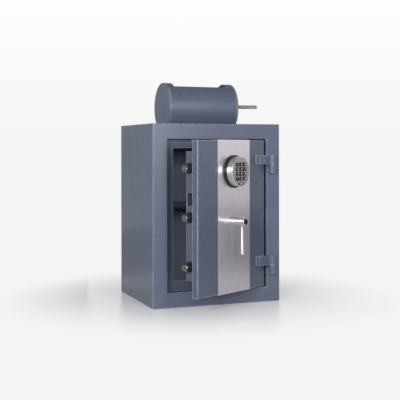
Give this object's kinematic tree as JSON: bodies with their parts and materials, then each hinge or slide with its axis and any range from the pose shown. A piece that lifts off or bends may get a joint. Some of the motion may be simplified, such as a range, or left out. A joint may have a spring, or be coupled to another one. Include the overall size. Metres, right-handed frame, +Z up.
{
  "type": "drum deposit drop safe",
  "caption": "Steel drop safe with a rotary deposit drum on its roof, a hinged door with keypad lock, turning handle and sliding round bolts, and a shelf inside.",
  "frame": {"origin": "middle of the underside of the safe body, on the floor", "axes": "+X to the right seen from the front, +Y to the back, +Z up; the door is drawn ajar as in the picture"},
  "size_m": [0.3845, 0.4571, 0.6225],
  "materials": {
    "painted_steel": "satin",
    "inside_paint": "matte",
    "brushed_stainless": "brushed",
    "polished_chrome": "polished",
    "plain_steel": "zinc plated",
    "lock_case": "cast zinc",
    "black_plastic": "matte",
    "key_plastic": "matte",
    "black_rubber": "matte"
  },
  "bodies": {
    "safe_body": {"front_frame": "painted_steel", "door_jamb": "painted_steel", "strike_channel": "inside_paint", "wall_left": "painted_steel", "wall_right": "painted_steel", "roof_plate": "painted_steel", "floor_plate": "painted_steel", "back_plate": "painted_steel", "shelf": "inside_paint", "shelf_bracket_left": "inside_paint", "shelf_bracket_right": "inside_paint", "hinge_knuckle_lower": "painted_steel", "hinge_knuckle_upper": "painted_steel", "hinge_pin_lower": "plain_steel", "hinge_pin_upper": "plain_steel", "drum_housing": "painted_steel", "drum_end_left": "painted_steel", "drum_end_right": "painted_steel", "drum_bush": "plain_steel", "baffle_front": "inside_paint", "baffle_rear": "inside_paint"},
    "deposit_drum": {"drum_rotor": "inside_paint", "rotor_disc_left": "inside_paint", "rotor_disc_right": "inside_paint", "drum_stub": "plain_steel", "drum_rod": "brushed_stainless"},
    "door": {"door_skin": "painted_steel", "door_back": "inside_paint", "steel_band": "brushed_stainless", "hinge_arm_lower": "painted_steel", "hinge_arm_upper": "painted_steel", "bolt_box": "inside_paint", "lock_body": "lock_case", "keypad_base": "black_plastic", "keypad_bezel": "brushed_stainless", "keypad_face": "brushed_stainless", "keypad_mat": "black_rubber", "keypad_cable": "black_rubber"},
    "handle": {"handle_hub": "polished_chrome", "handle_cap": "black_plastic", "handle_lever": "polished_chrome", "handle_spindle": "plain_steel"},
    "bolt_work": {"bolt_bar": "plain_steel", "bolt_lower": "polished_chrome", "bolt_middle": "polished_chrome", "bolt_upper": "polished_chrome", "bolt_rack": "plain_steel"},
    "lock_bolt": {"lock_tongue": "plain_steel"},
    "key_button_1": {"key_1": "key_plastic"},
    "key_button_2": {"key_2": "key_plastic"},
    "key_button_3": {"key_3": "key_plastic"},
    "key_button_4": {"key_4": "key_plastic"},
    "key_button_5": {"key_5": "key_plastic"},
    "key_button_6": {"key_6": "key_plastic"},
    "key_button_7": {"key_7": "key_plastic"},
    "key_button_8": {"key_8": "key_plastic"},
    "key_button_9": {"key_9": "key_plastic"},
    "key_button_10": {"key_10": "key_plastic"},
    "key_button_11": {"key_11": "key_plastic"},
    "key_button_12": {"key_12": "key_plastic"}
  },
  "joints": [
    {"name": "door_hinge", "type": "hinge", "parent": "safe_body", "child": "door", "pos_m": [0.16, -0.168, 0.25], "axis": [0, 0, 1], "range_deg": [-28.7, 91.3]},
    {"name": "handle_turn", "type": "hinge", "parent": "door", "child": "handle", "pos_m": [0.02076, -0.24936, 0.2373], "axis": [0.4802, -0.8771, 0], "range_deg": [0, 90]},
    {"name": "bolts_throw", "type": "slide", "parent": "door", "child": "bolt_work", "axis": [-0.8771, -0.4802, 0], "range_m": [0, 0.0403]},
    {"name": "lock_tongue_slide", "type": "slide", "parent": "door", "child": "lock_bolt", "axis": [-0.4802, 0.8771, 0], "range_m": [0, 0.012]},
    {"name": "drum_turn", "type": "hinge", "parent": "safe_body", "child": "deposit_drum", "pos_m": [0, 0.013, 0.556], "axis": [1, 0, 0], "range_deg": [0, 180]},
    {"name": "key_1_press", "type": "slide", "parent": "door", "child": "key_button_1", "axis": [-0.4802, 0.8771, 0], "range_m": [0, 0.0012], "stiffness_N_per_m": 400},
    {"name": "key_2_press", "type": "slide", "parent": "door", "child": "key_button_2", "axis": [-0.4802, 0.8771, 0], "range_m": [0, 0.0012], "stiffness_N_per_m": 400},
    {"name": "key_3_press", "type": "slide", "parent": "door", "child": "key_button_3", "axis": [-0.4802, 0.8771, 0], "range_m": [0, 0.0012], "stiffness_N_per_m": 400},
    {"name": "key_4_press", "type": "slide", "parent": "door", "child": "key_button_4", "axis": [-0.4802, 0.8771, 0], "range_m": [0, 0.0012], "stiffness_N_per_m": 400},
    {"name": "key_5_press", "type": "slide", "parent": "door", "child": "key_button_5", "axis": [-0.4802, 0.8771, 0], "range_m": [0, 0.0012], "stiffness_N_per_m": 400},
    {"name": "key_6_press", "type": "slide", "parent": "door", "child": "key_button_6", "axis": [-0.4802, 0.8771, 0], "range_m": [0, 0.0012], "stiffness_N_per_m": 400},
    {"name": "key_7_press", "type": "slide", "parent": "door", "child": "key_button_7", "axis": [-0.4802, 0.8771, 0], "range_m": [0, 0.0012], "stiffness_N_per_m": 400},
    {"name": "key_8_press", "type": "slide", "parent": "door", "child": "key_button_8", "axis": [-0.4802, 0.8771, 0], "range_m": [0, 0.0012], "stiffness_N_per_m": 400},
    {"name": "key_9_press", "type": "slide", "parent": "door", "child": "key_button_9", "axis": [-0.4802, 0.8771, 0], "range_m": [0, 0.0012], "stiffness_N_per_m": 400},
    {"name": "key_10_press", "type": "slide", "parent": "door", "child": "key_button_10", "axis": [-0.4802, 0.8771, 0], "range_m": [0, 0.0012], "stiffness_N_per_m": 400},
    {"name": "key_11_press", "type": "slide", "parent": "door", "child": "key_button_11", "axis": [-0.4802, 0.8771, 0], "range_m": [0, 0.0012], "stiffness_N_per_m": 400},
    {"name": "key_12_press", "type": "slide", "parent": "door", "child": "key_button_12", "axis": [-0.4802, 0.8771, 0], "range_m": [0, 0.0012], "stiffness_N_per_m": 400}
  ],
  "couplings": [
    {"joint": "bolts_throw", "follows": "handle_turn", "m_per_rad": 0.0256}
  ]
}
